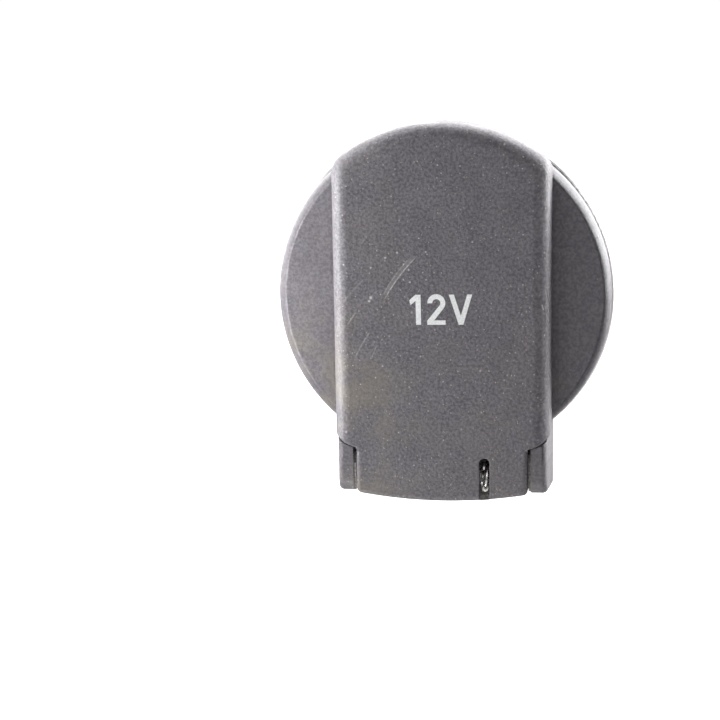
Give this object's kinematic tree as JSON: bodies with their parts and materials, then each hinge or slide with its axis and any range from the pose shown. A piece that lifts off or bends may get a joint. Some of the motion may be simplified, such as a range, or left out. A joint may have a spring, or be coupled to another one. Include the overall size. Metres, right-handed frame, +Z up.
{
  "type": "car power socket",
  "caption": "Round clip-in power socket for a vehicle panel, with a sprung flap lid hinged below a metal plug barrel and a blade connector at the rear.",
  "frame": {"origin": "on the socket's axis, in the plane of the sleeve flange's back face, where it meets the panel", "axes": "+Y into the panel along the socket's axis, +Z up with the hinge at the bottom, +X to the right as seen by the user"},
  "size_m": [0.0381, 0.0575, 0.0423],
  "materials": {
    "front_plastic": "fine eroded grain",
    "rear_plastic": "plain moulded",
    "steel": "bright drawn",
    "spring_steel": "bright wire",
    "nickel_plate": "satin plated",
    "insulator": "natural",
    "brass": "plain"
  },
  "bodies": {
    "base": {"bezel": "front_plastic", "hinge_pin": "steel", "lid_spring": "spring_steel", "mounting_sleeve": "rear_plastic", "contact_barrel": "nickel_plate", "contact_insulator": "insulator", "centre_contact": "brass", "rivet_washer": "steel", "ground_rivet": "steel", "positive_terminal": "brass", "negative_terminal": "brass", "connector_housing": "rear_plastic"},
    "flap": {"lid": "front_plastic"}
  },
  "joints": [
    {"name": "lid_hinge", "type": "hinge", "parent": "base", "child": "flap", "pos_m": [0, -0.0048, -0.02065], "axis": [1, 0, 0], "range_deg": [0, 100], "stiffness_Nm_per_rad": 0.045, "springref_deg": -20.05, "deforming": ["lid_spring"]}
  ]
}
